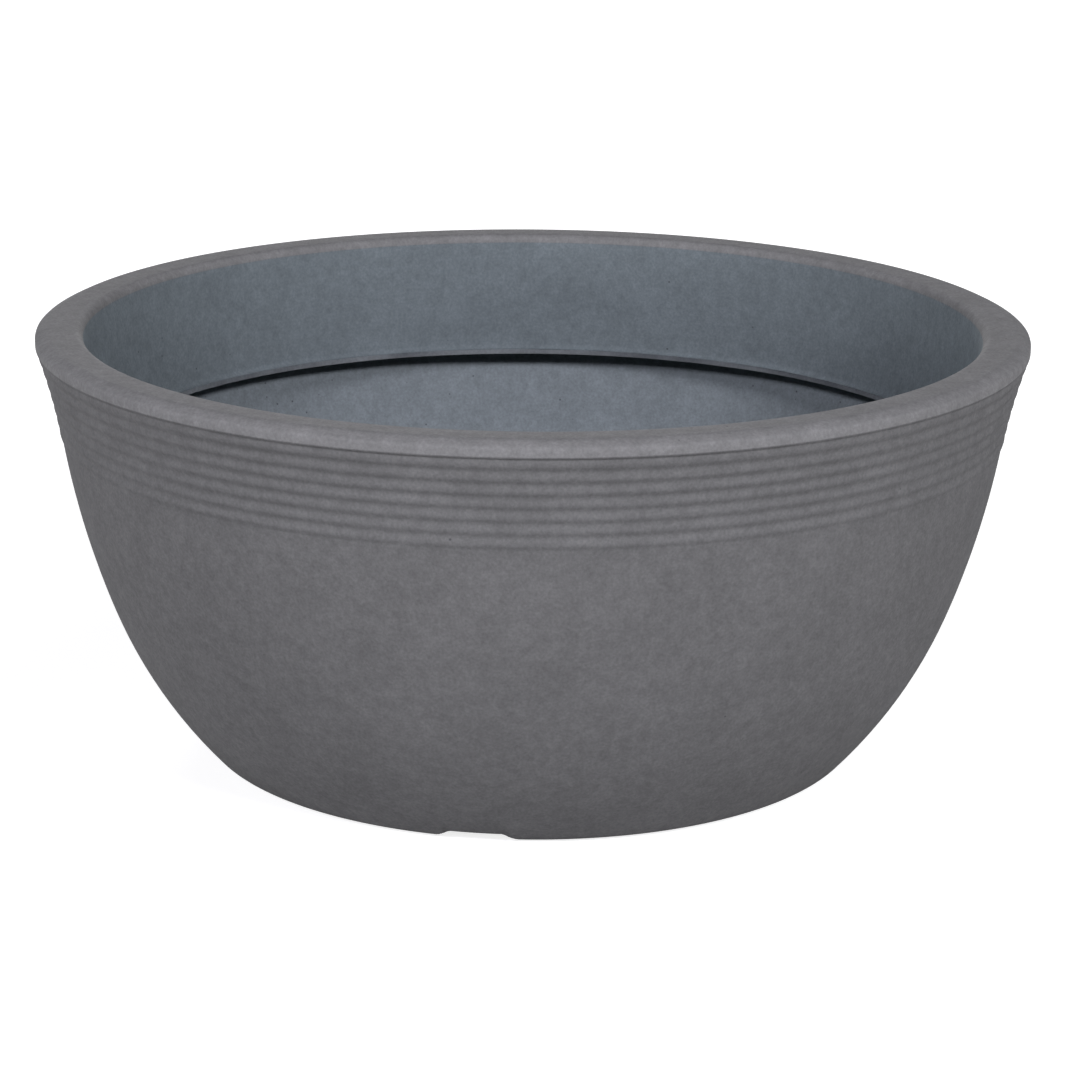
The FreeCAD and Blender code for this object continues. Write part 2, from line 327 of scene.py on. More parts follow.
def groove(index):
    """Bottom of one groove of the band, from the one under the fine bead to the top of the plain body."""
    steps_in = [BEAD_PITCH * math.tan(math.radians(band_lean(i))) for i in range(index)]
    return at(RIM_RADIUS - BAND_SETBACK - sum(steps_in), STEP_Z - FINE_BEAD_HEIGHT - index * BEAD_PITCH)


def draw_inside(section):
    """Inner face, from the axis on the floor up the wall to the top of the plain body."""
    mitre = WALL * math.tan(math.radians(FLOOR_SLOPE / 2))
    floor_edge = at(FLOOR_RADIUS + mitre, FLOOR_TOP)
    trough_edge = at(RING_INNER_RADIUS + mitre, WALL)
    trough_end = foot_corner(90, WALL)
    body_top_inside = groove(BEAD_COUNT) - pointing(-BODY_LEAN) * WALL
    section.turn(floor_edge, FLOOR_EDGE_RADIUS, trough_edge, FINE_STEP, FLOOR_STEP)
    section.turn(trough_edge, FLOOR_EDGE_RADIUS, trough_end)
    section.line(trough_end)
    section.arc(0, foot_corner(FOOT_LEAN, WALL))
    section.double_arc(90 - FOOT_LEAN, body_top_inside, 90 - BODY_LEAN)


def draw_rim_and_skirt(section):
    """Hollow under the rim, the skirt's back, the trimmed lip, and the skirt's face up to the rim's ridge."""
    lip_top_z = LIP_Z + LIP_THICKNESS
    lip_radius = skirt_radius(lip_top_z) - LIP_WIDTH
    lip_bottom = at(lip_radius, LIP_Z)
    bend_back = at(skirt_radius(LIP_Z) + WALL / math.cos(math.radians(SKIRT_LEAN)), LIP_Z)
    bend_face = at(skirt_radius(lip_top_z), lip_top_z)
    inner_slope = 180 + RIM_INNER_SLOPE
    roof_outer = OUTER_SLOPE_TOP - pointing(90 - RIM_OUTER_SLOPE) * WALL
    roof_inner = INNER_SLOPE_TOP - pointing(90 + RIM_INNER_SLOPE) * WALL
    band_top_inside = groove(0) - pointing(-BAND_LEAN) * WALL
    hollow_outer = crossing(roof_outer, -RIM_OUTER_SLOPE, band_top_inside, 90 - BAND_LEAN)
    hollow_inner = crossing(roof_inner, inner_slope, bend_back, 90 - SKIRT_LEAN)
    rim_inner_edge = crossing(INNER_SLOPE_TOP, inner_slope, bend_face, 90 - SKIRT_LEAN)
    section.arc(90 - BODY_LEAN, band_top_inside, COARSE_STEP)
    section.turn(hollow_outer, HOLLOW_CORNER_RADIUS, roof_outer, MEDIUM_STEP)
    section.line(roof_outer)
    section.arc(180 - RIM_OUTER_SLOPE, roof_inner, MEDIUM_STEP)
    section.turn(hollow_inner, HOLLOW_CORNER_RADIUS, bend_back, MEDIUM_STEP)
    section.turn(bend_back, LIP_BACK_RADIUS, lip_bottom)
    section.mark = "trimmed_edge"
    section.line(lip_bottom, FINE_STEP)
    section.line(at(lip_radius, lip_top_z), FINE_STEP)
    section.mark = "skirt_face"
    section.turn(bend_face, LIP_BEND_RADIUS, rim_inner_edge, FINE_STEP, FINE_STEP)
    section.line(rim_inner_edge - pointing(90 - SKIRT_LEAN) * RIM_INNER_EDGE_RADIUS)
    # The rim's top and outer face carry the mark for its painted highlight
    section.mark = "rim_painted_light"
    section.turn(rim_inner_edge, RIM_INNER_EDGE_RADIUS, INNER_SLOPE_TOP)
    section.line(INNER_SLOPE_TOP)
    section.arc_into(RIDGE_TOP, 0)


def bead_crest(index):
    """Middle of one bead, which stands out from the line between its two grooves."""
    return groove(index).lerp(groove(index + 1), 0.5) + pointing(-band_lean(index)) * BEAD_DEPTH


def draw_beads(section):
    """From the step under the rim, down the fine bead and the beads, to the top of the plain body."""
    half_pitch = at(math.tan(math.radians(BAND_LEAN)), 1) * (BEAD_PITCH / 2)
    fine_crest = groove(0) + half_pitch + pointing(-BAND_LEAN) * BEAD_DEPTH
    section.arc_into(fine_crest, -90 - BAND_LEAN)
    section.sway(-90 - BAND_LEAN, groove(0))
    for i in range(BEAD_COUNT):
        down = -90 - band_lean(i)
        section.sway(down, bead_crest(i))
        section.sway(down, groove(i + 1))


def draw_outside(section):
    """Outer face, from the rim's ridge, over the beads, to the axis under the bowl."""
    rim_lower_edge = at(RIM_RADIUS, STEP_Z + RIM_STEP_HEIGHT)
    step_root = at(RIM_RADIUS - RIM_STEP_DEPTH, STEP_Z)
    ring_edge = at(RING_INNER_RADIUS, 0)
    floor_edge = at(FLOOR_RADIUS, FLOOR_RAISE)
    floor_middle = at(0, FLOOR_RAISE)
    section.arc(0, OUTER_SLOPE_TOP)
    section.turn(RIM_EDGE, RIM_OUTER_EDGE_RADIUS, rim_lower_edge)
    section.line(rim_lower_edge)
    section.mark = ""
    section.sway(-90, step_root, SMALL_FACE_STEP)
    draw_beads(section)
    section.double_arc(-90 - BODY_LEAN, foot_corner(FOOT_LEAN, 0), -90 - FOOT_LEAN)
    section.arc(-90 - FOOT_LEAN, foot_corner(90, 0))
    section.turn(ring_edge, FLOOR_EDGE_RADIUS, floor_edge)
    section.turn(floor_edge, FLOOR_EDGE_RADIUS, floor_middle)
    section.line(floor_middle, FLOOR_STEP)


def shell_section():
    """The moulded skin, from the floor up the inside, over the skirt and rim, and down the outside."""
    section = Section(at(0, FLOOR_TOP), "inner_skin")
    draw_inside(section)
    section.mark = ""
    draw_rim_and_skirt(section)
    draw_outside(section)
    return section


def plug_section():
    """Grip, flange and tapered hollow stem, from the top down the outside and up into the core."""
    stem_radius = HOLE_DIAMETER / 2 - PLUG_CLEARANCE
    tip_radius = stem_radius - PLUG_TAPER
    tip_z = FLOOR_RAISE - PLUG_BELOW_FLOOR
    core_radius = tip_radius - PLUG_SKIN
    flange_radius = HOLE_DIAMETER / 2 + FLANGE_OVERHANG
    flange_z = FLOOR_TOP + FLANGE_THICKNESS
    neck_radius = GRIP_NECK_DIAMETER / 2
    head_z = flange_z + GRIP_NECK_HEIGHT
    head_edge = at(GRIP_DIAMETER / 2, head_z)
    head_top = at(0, head_z + GRIP_HEAD_HEIGHT)
    flange_edge = at(flange_radius, flange_z)
    flange_seat = at(flange_radius, FLOOR_TOP)
    section = Section(head_top)
    section.arc(0, head_edge)
    section.line(at(neck_radius, head_z))
    section.turn(at(neck_radius, flange_z), GRIP_NECK_BEND_RADIUS, flange_edge, SMALL_FACE_STEP)
    section.turn(flange_edge, FLANGE_EDGE_RADIUS, flange_seat, SMALL_FACE_STEP)
    section.line(flange_seat)
    section.line(at(stem_radius, FLOOR_TOP))
    section.line(at(tip_radius, tip_z + PLUG_TIP_CHAMFER))
    section.line(at(tip_radius - PLUG_TIP_CHAMFER, tip_z))
    section.line(at(core_radius, tip_z))
    section.line(at(core_radius, FLOOR_TOP))
    section.line(at(0, FLOOR_TOP))
    return section


def linear_level(level):
    """Linear value of one sRGB channel, from 0 to 1."""
    if level <= 0.04045:
        return level / 12.92
    return ((level + 0.055) / 1.055) ** 2.4


def linear(hex_colour):
    """Linear RGBA of an sRGB colour written as #rrggbb."""
    return [linear_level(int(hex_colour[i:i + 2], 16) / 255) for i in (1, 3, 5)] + [1.0]


def add_node(tree, kind, inputs=None, **settings):
    """Adds a node. Each input gets a value, or a link from a socket or a node's first output."""
    node = tree.nodes.new(kind)
    for name, value in settings.items():
        setattr(node, name, value)
    for key, value in (inputs or {}).items():
        if isinstance(value, bpy.types.Node):
            tree.links.new(value.outputs[0], node.inputs[key])
        elif isinstance(value, bpy.types.NodeSocket):
            tree.links.new(value, node.inputs[key])
        else:
            node.inputs[key].default_value = value
    return node


def per_metre(size):
    """Texture scale for a pattern whose marks are this many millimetres apart."""
    return 1 / (size * MM)


def new_shader(name):
    material = bpy.data.materials.new(name)
    material.use_nodes = True
    material.node_tree.nodes.clear()
    return material, material.node_tree


def stone_polyethylene():
    """Rotationally moulded polyethylene with a stone-look powder: matte, finely speckled and softly mottled,
    with pinholes left by air whose dark fill is painted shade, a rim painted paler as a painted highlight,
    paler cooler tones painted on the skirt and inside as painted light, and an uneven cut face painted in
    patches of light and shade."""
    material, tree = new_shader("stone_look_polyethylene")
    place = add_node(tree, "ShaderNodeTexCoord").outputs["Object"]
    mottle = add_node(tree, "ShaderNodeTexNoise",
                      {"Vector": place, "Scale": per_metre(MOTTLE_SIZE), "Detail": 3.0, "Roughness": 0.6})
    blotch = add_node(tree, "ShaderNodeTexNoise",
                      {"Vector": place, "Scale": per_metre(BLOTCH_SIZE), "Detail": 1.0, "Roughness": 0.5})
    grain = add_node(tree, "ShaderNodeTexNoise",
                     {"Vector": place, "Scale": per_metre(GRAIN_SIZE), "Detail": 2.0, "Roughness": 0.6})
    skirt = add_node(tree, "ShaderNodeAttribute", attribute_name="skirt_face")
    inner = add_node(tree, "ShaderNodeAttribute", attribute_name="inner_skin")
    cut = add_node(tree, "ShaderNodeAttribute", attribute_name="trimmed_edge")
    rim_lit = add_node(tree, "ShaderNodeAttribute", attribute_name="rim_painted_light")

    # Few of the cells hold a pinhole on the outside, more on the skirt, and most on the inner skin
    pinholes = add_node(tree, "ShaderNodeTexVoronoi",
                        {"Vector": place, "Scale": per_metre(PINHOLE_SPACING), "Randomness": 1.0})
    cell = add_node(tree, "ShaderNodeSeparateColor", {"Color": pinholes.outputs["Color"]})
    skirt_share = add_node(tree, "ShaderNodeMath",
                           {0: skirt.outputs["Fac"], 1: SKIRT_PINHOLE_SHARE, 2: PINHOLE_SHARE},
                           operation="MULTIPLY_ADD")
    pit_share = add_node(tree, "ShaderNodeMath",
                         {0: inner.outputs["Fac"], 1: INNER_PINHOLE_SHARE, 2: skirt_share},
                         operation="MULTIPLY_ADD")
    chosen = add_node(tree, "ShaderNodeMath", {0: cell, 1: pit_share}, operation="LESS_THAN")
    dot = add_node(tree, "ShaderNodeMapRange",
                   {"Value": pinholes.outputs["Distance"], "From Min": 0.04, "From Max": 0.12,
                    "To Min": 0.8, "To Max": 0.0})
    pit = add_node(tree, "ShaderNodeMath", {0: dot, 1: chosen}, operation="MULTIPLY")

    # The rim is painted paler: painted highlight
    outside = add_node(tree, "ShaderNodeMix",
                       {"Factor": rim_lit.outputs["Fac"], "A": linear(BODY_COLOUR), "B": linear(RIM_LIT_COLOUR)},
                       data_type="RGBA")
    # The skirt and inner skin get paler, cooler tones: painted light
    hanging = add_node(tree, "ShaderNodeMix",
                       {"Factor": skirt.outputs["Fac"], "A": outside.outputs["Result"],
                        "B": linear(SKIRT_LIT_COLOUR)},
                       data_type="RGBA")
    inside = add_node(tree, "ShaderNodeMix",
                      {"Factor": inner.outputs["Fac"], "A": hanging.outputs["Result"],
                       "B": linear(INNER_LIT_COLOUR)},
                      data_type="RGBA")
    # The cut face: painted shade, with patches of painted light where its cut turns
    cut_light_patches = add_node(tree, "ShaderNodeTexNoise",
                          {"Vector": place, "Scale": per_metre(CUT_LIGHT_PATCH_SIZE), "Detail": 2.0})
    cut_share = add_node(tree, "ShaderNodeMapRange",
                         {"Value": cut_light_patches.outputs["Fac"], "From Min": 0.38, "From Max": 0.62})
    cut_light_and_shade = add_node(tree, "ShaderNodeMix",
                        {"Factor": cut_share, "A": linear(CUT_SHADE_COLOUR), "B": linear(CUT_LIGHT_COLOUR)},
                        data_type="RGBA")
    ground = add_node(tree, "ShaderNodeMix",
                      {"Factor": cut.outputs["Fac"], "A": inside.outputs["Result"],
                       "B": cut_light_and_shade.outputs["Result"]},
                      data_type="RGBA")
    mottle_share = add_node(tree, "ShaderNodeMapRange",
                            {"Value": mottle.outputs["Fac"], "From Min": 0.3, "From Max": 0.7,
                             "To Min": 1 - MOTTLE_SWING, "To Max": 1 + MOTTLE_SWING})
    blotch_share = add_node(tree, "ShaderNodeMapRange",
                            {"Value": blotch.outputs["Fac"], "From Min": 0.3, "From Max": 0.7,
                             "To Min": 1 - BLOTCH_SWING, "To Max": 1 + BLOTCH_SWING})
    grain_share = add_node(tree, "ShaderNodeMapRange",
                           {"Value": grain.outputs["Fac"], "From Min": 0.25, "From Max": 0.75,
                            "To Min": 1 - GRAIN_SWING, "To Max": 1 + GRAIN_SWING})
    soft_tone = add_node(tree, "ShaderNodeMath", {0: mottle_share, 1: blotch_share}, operation="MULTIPLY")
    tone = add_node(tree, "ShaderNodeMath", {0: soft_tone, 1: grain_share}, operation="MULTIPLY")
    speckled = add_node(tree, "ShaderNodeVectorMath", {0: ground.outputs["Result"], 1: tone},
                        operation="MULTIPLY")
    # Pinholes filled with painted shade
    colour = add_node(tree, "ShaderNodeMix",
                      {"Factor": pit, "A": speckled, "B": linear(PINHOLE_SHADE_COLOUR)}, data_type="RGBA")

    roughness = add_node(tree, "ShaderNodeMapRange",
                         {"Value": grain.outputs["Fac"], "From Min": 0.25, "From Max": 0.75,
                          "To Min": 0.95, "To Max": 0.8})
    relief = add_node(tree, "ShaderNodeMath", {0: grain.outputs["Fac"], 1: pit}, operation="SUBTRACT")
    bump = add_node(tree, "ShaderNodeBump",
                    {"Height": relief, "Strength": 0.4, "Distance": GRAIN_RELIEF * MM})
    surface = add_node(tree, "ShaderNodeBsdfPrincipled",
                       {"Base Color": colour.outputs["Result"], "Roughness": roughness, "IOR": 1.5,
                        "Specular IOR Level": 0.05, "Normal": bump})
    add_node(tree, "ShaderNodeOutputMaterial", {"Surface": surface})
    return material


def plug_rubber():
    """Moulded black rubber: dull, with a soft greyish bloom in uneven patches."""
    material, tree = new_shader("moulded_rubber")
    place = add_node(tree, "ShaderNodeTexCoord").outputs["Object"]
    bloom = add_node(tree, "ShaderNodeTexNoise",
                     {"Vector": place, "Scale": per_metre(BLOOM_SIZE), "Detail": 4.0, "Roughness": 0.6})
    grit = add_node(tree, "ShaderNodeTexNoise",
                    {"Vector": place, "Scale": per_metre(GRIT_SIZE), "Detail": 1.0})
    bloom_share = add_node(tree, "ShaderNodeMapRange",
                           {"Value": bloom.outputs["Fac"], "From Min": 0.35, "From Max": 0.7})
    colour = add_node(tree, "ShaderNodeMix",
                      {"Factor": bloom_share, "A": linear(RUBBER_COLOUR), "B": linear(BLOOM_COLOUR)},
                      data_type="RGBA")
    roughness = add_node(tree, "ShaderNodeMapRange",
                         {"Value": bloom.outputs["Fac"], "To Min": 0.5, "To Max": 0.8})
    bump = add_node(tree, "ShaderNodeBump",
                    {"Height": grit.outputs["Fac"], "Strength": 0.3, "Distance": GRIT_RELIEF * MM})
    surface = add_node(tree, "ShaderNodeBsdfPrincipled",
                       {"Base Color": colour.outputs["Result"], "Roughness": roughness, "IOR": 1.52,
                        "Normal": bump})
    add_node(tree, "ShaderNodeOutputMaterial", {"Surface": surface})
    return material


def new_geometry_tree(name, sockets):
    """Geometry tree with a Geometry input and output, and a named input for each size."""
    tree = bpy.data.node_groups.new(name, "GeometryNodeTree")
    tree.interface.new_socket("Geometry", in_out="INPUT", socket_type="NodeSocketGeometry")
    for label, kind in sockets.items():
        tree.interface.new_socket(label, in_out="INPUT", socket_type=kind)
    tree.interface.new_socket("Geometry", in_out="OUTPUT", socket_type="NodeSocketGeometry")
    return tree, add_node(tree, "NodeGroupInput").outputs


def turning_tree():
    """Turns a section, drawn round a path of the given radius, into a closed piece about the Z axis."""
    tree, given = new_geometry_tree("turned_on_axis",
                                    {"Steps around": "NodeSocketInt", "Path radius": "NodeSocketFloat"})
    path = add_node(tree, "GeometryNodeCurvePrimitiveCircle",
                    {"Resolution": given["Steps around"], "Radius": given["Path radius"]})
    section = add_node(tree, "GeometryNodeMeshToCurve", {"Mesh": given["Geometry"]})
    turned = add_node(tree, "GeometryNodeCurveToMesh", {"Curve": path, "Profile Curve": section})
    closed = add_node(tree, "GeometryNodeMergeByDistance",
                      {"Geometry": turned, "Distance": WELD_DISTANCE * MM})
    add_node(tree, "NodeGroupOutput", {"Geometry": closed})
    return tree


def polar_place(tree):
    """Place of each point, also with no height, its angle about the axis, its radius and its X, Y and Z."""
    place = add_node(tree, "GeometryNodeInputPosition")
    axes = add_node(tree, "ShaderNodeSeparateXYZ", {"Vector": place})
    angle = add_node(tree, "ShaderNodeMath", {0: axes.outputs["Y"], 1: axes.outputs["X"]},
                     operation="ARCTAN2")
    level = add_node(tree, "ShaderNodeVectorMath", {0: place, 1: (1.0, 1.0, 0.0)}, operation="MULTIPLY")
    radius = add_node(tree, "ShaderNodeVectorMath", {0: level}, operation="LENGTH")
    return place, level, angle, radius.outputs["Value"], axes


def end_tree(tree, geometry, material):
    """Ends a tree: smooth faces with crisp edges at sharp bends, real geometry, and the material."""
    smooth = add_node(tree, "GeometryNodeSetShadeSmooth", {"Geometry": geometry, "Shade Smooth": True})
    bend = add_node(tree, "GeometryNodeInputMeshEdgeAngle").outputs["Unsigned Angle"]
    sharp = add_node(tree, "ShaderNodeMath", {0: bend, 1: math.radians(SHARP_BEND)}, operation="GREATER_THAN")
    creased = add_node(tree, "GeometryNodeSetShadeSmooth",
                       {"Geometry": smooth, "Selection": sharp, "Shade Smooth": False}, domain="EDGE")
    real = add_node(tree, "GeometryNodeRealizeInstances", {"Geometry": creased})
    finished = add_node(tree, "GeometryNodeSetMaterial", {"Geometry": real, "Material": material})
    add_node(tree, "NodeGroupOutput", {"Geometry": finished})


def shell_tree(turning):
    """Turns the shell's section, pushes in the notches, wavers the cut lip and drills the holes."""
    tree, given = new_geometry_tree("moulded_bowl", {
        "Steps around": "NodeSocketInt", "Path radius": "NodeSocketFloat", "Wall": "NodeSocketFloat",
        "Notches": "NodeSocketInt", "First notch": "NodeSocketFloat", "Notch half width": "NodeSocketFloat",
        "Notch foot half width": "NodeSocketFloat", "Notch height": "NodeSocketFloat",
        "Gathering": "NodeSocketFloat", "Lip waver": "NodeSocketFloat", "Hole radius": "NodeSocketFloat",
        "Hole circle radius": "NodeSocketFloat", "Floor height": "NodeSocketFloat",
        "Material": "NodeSocketMaterial"})
    turned = add_node(tree, "GeometryNodeGroup",
                      {"Geometry": given["Geometry"], "Steps around": given["Steps around"],
                       "Path radius": given["Path radius"]}, node_tree=turning)
    place, level, angle, radius, axes = polar_place(tree)
    to_first = add_node(tree, "ShaderNodeMath", {0: given["First notch"], 1: angle}, operation="SUBTRACT")

    # The steps round the axis are drawn together at the notches
    waves = add_node(tree, "ShaderNodeMath", {0: to_first, 1: given["Notches"]}, operation="MULTIPLY")
    wave = add_node(tree, "ShaderNodeMath", {0: waves}, operation="SINE")
    share = add_node(tree, "ShaderNodeMath", {0: given["Gathering"], 1: given["Notches"]}, operation="DIVIDE")
    turn = add_node(tree, "ShaderNodeMath", {0: wave, 1: share}, operation="MULTIPLY")
    drawn_together = add_node(tree, "ShaderNodeVectorRotate", {"Vector": place, "Angle": turn},
                              rotation_type="Z_AXIS")
    gathered = add_node(tree, "GeometryNodeSetPosition", {"Geometry": turned, "Position": drawn_together})

    # Each notch lifts the foot's outer face to its roof, and the inner face stays a wall above it
    half_pitch = add_node(tree, "ShaderNodeMath", {0: math.pi, 1: given["Notches"]}, operation="DIVIDE")
    half_back = add_node(tree, "ShaderNodeMath", {0: half_pitch, 1: -1.0}, operation="MULTIPLY")
    to_notch = add_node(tree, "ShaderNodeMath", {0: to_first, 1: half_pitch, 2: half_back}, operation="WRAP")
    sideways = add_node(tree, "ShaderNodeMath", {0: to_notch}, operation="SINE")
    signed_across = add_node(tree, "ShaderNodeMath", {0: sideways, 1: radius}, operation="MULTIPLY")
    across = add_node(tree, "ShaderNodeMath", {0: signed_across}, operation="ABSOLUTE")
    lift = add_node(tree, "ShaderNodeMapRange",
                    {"Value": across, "From Min": given["Notch half width"],
                     "From Max": given["Notch foot half width"],
                     "To Min": given["Notch height"], "To Max": 0.0})
    inner_skin = add_node(tree, "GeometryNodeInputNamedAttribute", {"Name": "inner_skin"})
    lowest = add_node(tree, "ShaderNodeMath", {0: inner_skin, 1: given["Wall"], 2: lift},
                      operation="MULTIPLY_ADD")
    raised = add_node(tree, "ShaderNodeMath", {0: axes.outputs["Z"], 1: lowest}, operation="MAXIMUM")
    notched_place = add_node(tree, "ShaderNodeCombineXYZ",
                             {"X": axes.outputs["X"], "Y": axes.outputs["Y"], "Z": raised})
    notched = add_node(tree, "GeometryNodeSetPosition", {"Geometry": gathered, "Position": notched_place})

    # The lip was cut by hand, so its edge wanders a little in and out
    trimmed = add_node(tree, "GeometryNodeInputNamedAttribute", {"Name": "trimmed_edge"})
    unsteady = add_node(tree, "ShaderNodeTexNoise", {"Vector": place, "Scale": per_metre(LIP_WAVER_LENGTH)})
    swing = add_node(tree, "ShaderNodeMapRange",
                     {"Value": unsteady.outputs["Fac"], "From Min": 0.3, "From Max": 0.7,
                      "To Min": 0.0, "To Max": given["Lip waver"]})
    outwards = add_node(tree, "ShaderNodeVectorMath", {0: level}, operation="NORMALIZE")
    push = add_node(tree, "ShaderNodeMath", {0: swing, 1: trimmed}, operation="MULTIPLY")
    wander = add_node(tree, "ShaderNodeVectorMath", {0: outwards, "Scale": push}, operation="SCALE")
    wavered = add_node(tree, "GeometryNodeSetPosition", {"Geometry": notched, "Offset": wander})

    # One drill stands on the line of each notch, twice as long as the floor is thick
    spots = add_node(tree, "GeometryNodeMeshCircle",
                     {"Vertices": given["Notches"], "Radius": given["Hole circle radius"]})
    drill_length = add_node(tree, "ShaderNodeMath", {0: given["Wall"], 1: 2.0}, operation="MULTIPLY")
    drill = add_node(tree, "GeometryNodeMeshCylinder",
                     {"Vertices": PLUG_STEPS_AROUND, "Radius": given["Hole radius"], "Depth": drill_length})
    drills = add_node(tree, "GeometryNodeInstanceOnPoints", {"Points": spots, "Instance": drill})
    stance = add_node(tree, "ShaderNodeCombineXYZ", {"Z": given["First notch"]})
    standing = add_node(tree, "ShaderNodeCombineXYZ", {"Z": given["Floor height"]})
    placed = add_node(tree, "GeometryNodeTransform",
                      {"Geometry": drills, "Translation": standing, "Rotation": stance})
    solid_drills = add_node(tree, "GeometryNodeRealizeInstances", {"Geometry": placed})
    plain_bowl = add_node(tree, "GeometryNodeSetMaterial",
                          {"Geometry": wavered, "Material": given["Material"]})
    bore = add_node(tree, "GeometryNodeSetMaterial",
                    {"Geometry": solid_drills, "Material": given["Material"]})
    drilled = add_node(tree, "GeometryNodeMeshBoolean", {"Mesh 1": plain_bowl, "Mesh 2": bore},
                       operation="DIFFERENCE", solver="MANIFOLD")
    end_tree(tree, drilled, given["Material"])
    return tree


def plug_tree(turning):
    """Turns a plug's section and stands the plug in its hole."""
    tree, given = new_geometry_tree("moulded_plug", {
        "Steps around": "NodeSocketInt", "Path radius": "NodeSocketFloat", "Place": "NodeSocketVector",
        "Material": "NodeSocketMaterial"})
    turned = add_node(tree, "GeometryNodeGroup",
                      {"Geometry": given["Geometry"], "Steps around": given["Steps around"],
                       "Path radius": given["Path radius"]}, node_tree=turning)
    standing = add_node(tree, "GeometryNodeTransform", {"Geometry": turned, "Translation": given["Place"]})
    end_tree(tree, standing, given["Material"])
    return tree


def turned_piece(name, section, tree, sizes):
    """Makes a piece from its section with a geometry tree, and keeps the result as a plain mesh."""
    drawing = bpy.data.meshes.new(name + "_section")
    corners = [((p.x - PATH_RADIUS) * MM, -p.y * MM, 0.0) for p in section.points]
    drawing.from_pydata(corners, [(i, i + 1) for i in range(len(corners) - 1)], [])
    for mark in ("inner_skin", "skirt_face", "trimmed_edge", "rim_painted_light"):
        attribute = drawing.attributes.new(mark, "FLOAT", "POINT")
        attribute.data.foreach_set("value", [float(m == mark) for m in section.marks])
    piece = bpy.data.objects.new(name, drawing)
    bpy.context.scene.collection.objects.link(piece)
    modifier = piece.modifiers.new("turned", "NODES")
    modifier.node_group = tree
    for item in tree.interface.items_tree:
        if item.in_out == "INPUT" and item.name in sizes:
            modifier[item.identifier] = sizes[item.name]
    evaluated = piece.evaluated_get(bpy.context.evaluated_depsgraph_get())
    finished = bpy.data.meshes.new_from_object(evaluated)
    piece.modifiers.clear()
    piece.data = finished
    finished.name = name
    bpy.data.meshes.remove(drawing)
    return piece


def bowl_shell(turning, material):
    piece = turned_piece("bowl_shell", shell_section(), shell_tree(turning), {
        "Steps around": SHELL_STEPS_AROUND, "Path radius": PATH_RADIUS * MM, "Wall": WALL * MM,
        "Notches": NOTCH_COUNT, "First notch": math.radians(NOTCH_DIRECTION),
        "Notch half width": NOTCH_WIDTH / 2 * MM,
        "Notch foot half width": (NOTCH_WIDTH / 2 + NOTCH_RAMP) * MM,
        "Notch height": NOTCH_HEIGHT * MM, "Gathering": NOTCH_GATHERING, "Lip waver": LIP_WAVER * MM,
        "Hole radius": HOLE_DIAMETER / 2 * MM, "Hole circle radius": HOLE_CIRCLE_RADIUS * MM,
        "Floor height": (FLOOR_RAISE + WALL / 2) * MM, "Material": material})
    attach(piece, "shell")
    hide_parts("planter_shell")


def rubber_plugs(turning, material):
    tree = plug_tree(turning)
    for i in range(NOTCH_COUNT):
        direction = math.radians(NOTCH_DIRECTION + i * 360 / NOTCH_COUNT)
        place = Vector((math.cos(direction), math.sin(direction), 0)) * HOLE_CIRCLE_RADIUS * MM
        piece = turned_piece(f"rubber_plug_{i + 1}", plug_section(), tree, {
            "Steps around": PLUG_STEPS_AROUND, "Path radius": PATH_RADIUS * MM, "Place": place,
            "Material": material})
        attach(piece, f"plug_{i + 1}")
        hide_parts(f"drain_plug_{i + 1}")


def seen_share(tree, share):
    """Share for rays from the camera, straight or by a reflection, and none for light that bounces."""
    path = add_node(tree, "ShaderNodeLightPath").outputs
    seen = add_node(tree, "ShaderNodeMath", {0: path["Is Camera Ray"], 1: path["Is Glossy Ray"]},
                    operation="MAXIMUM")
    shown = add_node(tree, "ShaderNodeMath", {0: seen, 1: path["Is Transmission Ray"]}, operation="MAXIMUM")
    return add_node(tree, "ShaderNodeMath", {0: shown, 1: share}, operation="MULTIPLY")


def white_card():
    """Matte card that glows to the camera, so that it looks white and keeps a soft shadow near the bowl.
    Inside the foot ring it has no glow, so a hole in the floor shows shade."""
    material, tree = new_shader("matte_white_card")
    place = add_node(tree, "ShaderNodeTexCoord").outputs["Object"]
    distance = add_node(tree, "ShaderNodeVectorMath", {0: place}, operation="LENGTH").outputs["Value"]
    glow = add_node(tree, "ShaderNodeMapRange",
                    {"Value": distance, "From Min": CARD_GLOW_RADIUS * MM, "From Max": CARD_WHITE_RADIUS * MM,
                     "To Min": CARD_GLOW, "To Max": 1.0})
    outside_ring = add_node(tree, "ShaderNodeMath", {0: distance, 1: RING_INNER_RADIUS * MM},
                            operation="GREATER_THAN")
    open_glow = add_node(tree, "ShaderNodeMath", {0: glow, 1: outside_ring}, operation="MULTIPLY")
    matte = add_node(tree, "ShaderNodeBsdfDiffuse", {"Color": linear(CARD_COLOUR)})
    white = add_node(tree, "ShaderNodeEmission",
                     {"Color": linear(WHITE), "Strength": seen_share(tree, open_glow)})
    surface = add_node(tree, "ShaderNodeAddShader", {0: matte, 1: white})
    add_node(tree, "ShaderNodeOutputMaterial", {"Surface": surface})
    return material


def floor_card():
    half = CARD_SIZE / 2 * MM
    mesh = bpy.data.meshes.new("floor_card")
    corners = [(-half, -half), (half, -half), (half, half), (-half, half)]
    mesh.from_pydata([(x, y, -CARD_GAP * MM) for x, y in corners], [], [(0, 1, 2, 3)])
    mesh.materials.append(white_card())
    card = bpy.data.objects.new("floor_card", mesh)
    bpy.context.scene.collection.objects.link(card)


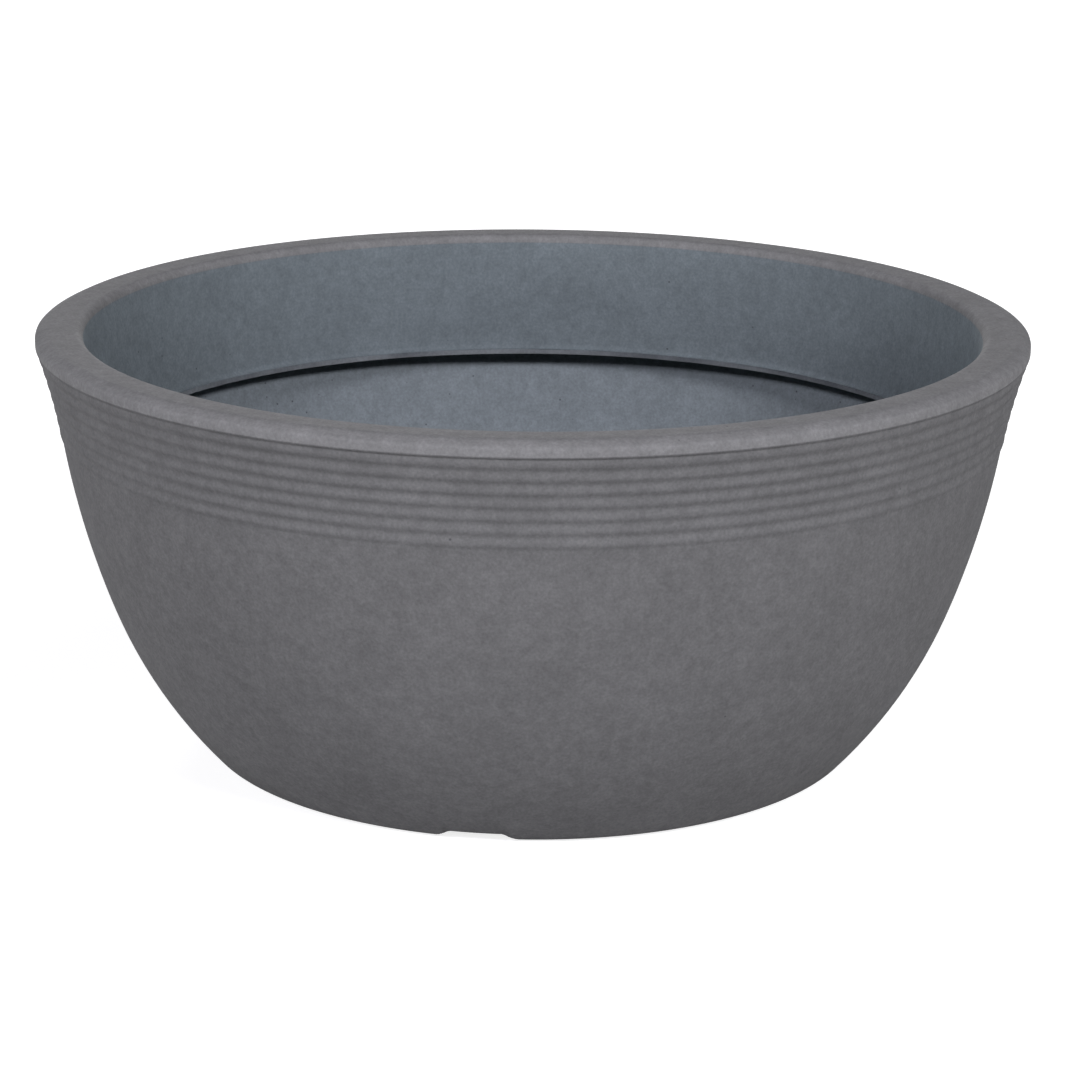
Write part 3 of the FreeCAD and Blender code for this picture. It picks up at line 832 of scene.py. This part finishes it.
def studio_world():
    """Dim even light from all round, and a white background to the camera."""
    world = bpy.data.worlds.new("white_studio")
    world.use_nodes = True
    tree = world.node_tree
    tree.nodes.clear()
    room = add_node(tree, "ShaderNodeBackground", {"Color": linear(WHITE), "Strength": ROOM_STRENGTH})
    white = add_node(tree, "ShaderNodeBackground", {"Color": linear(WHITE), "Strength": 1.0})
    both = add_node(tree, "ShaderNodeMixShader", {0: seen_share(tree, 1.0), 1: room, 2: white})
    add_node(tree, "ShaderNodeOutputWorld", {"Surface": both})
    bpy.context.scene.world = world


def direction_from(azimuth, elevation):
    """Unit vector from the bowl, these many degrees round from the front and up from the ground."""
    a = math.radians(azimuth)
    e = math.radians(elevation)
    return Vector((math.sin(a) * math.cos(e), -math.cos(a) * math.cos(e), math.sin(e)))


def soft_box(name, azimuth, elevation, brightness, colour):
    """Lamp that faces the bowl. At a brightness of 1 it shows a matte colour as it is written."""
    lamp = bpy.data.lights.new(name, "AREA")
    lamp.shape = "RECTANGLE"
    lamp.size = SOFT_BOX_WIDTH * MM
    lamp.size_y = SOFT_BOX_HEIGHT * MM
    lamp.color = linear(colour)[:3]
    lamp.energy = brightness * (math.pi * LIGHT_DISTANCE * MM) ** 2
    lamp_object = bpy.data.objects.new(name, lamp)
    back = direction_from(azimuth, elevation)
    lamp_object.location = Vector((0, 0, LIGHT_AIM_Z * MM)) + back * LIGHT_DISTANCE * MM
    lamp_object.rotation_mode = "QUATERNION"
    lamp_object.rotation_quaternion = (-back).to_track_quat("-Z", "Y")
    bpy.context.scene.collection.objects.link(lamp_object)


def studio_camera():
    lens = bpy.data.cameras.new("camera")
    lens.sensor_width = SENSOR_WIDTH
    lens.lens = SENSOR_WIDTH * CAMERA_FOCAL_PIXELS / IMAGE_SIZE
    lens.shift_x = CAMERA_SHIFT_PIXELS / IMAGE_SIZE
    camera = bpy.data.objects.new("camera", lens)
    back = direction_from(CAMERA_AZIMUTH, CAMERA_ELEVATION)
    camera.location = Vector((0, 0, CAMERA_AIM_Z * MM)) + back * CAMERA_DISTANCE * MM
    camera.rotation_mode = "QUATERNION"
    roll = Quaternion((0, 0, 1), math.radians(CAMERA_ROLL))
    camera.rotation_quaternion = (-back).to_track_quat("-Z", "Y") @ roll
    bpy.context.scene.collection.objects.link(camera)
    bpy.context.scene.camera = camera


turning = turning_tree()
bowl_shell(turning, stone_polyethylene())
rubber_plugs(turning, plug_rubber())
floor_card()
studio_world()
for soft_box_facts in SOFT_BOXES:
    soft_box(*soft_box_facts)
studio_camera()
bpy.context.scene.view_settings.view_transform = "Standard"
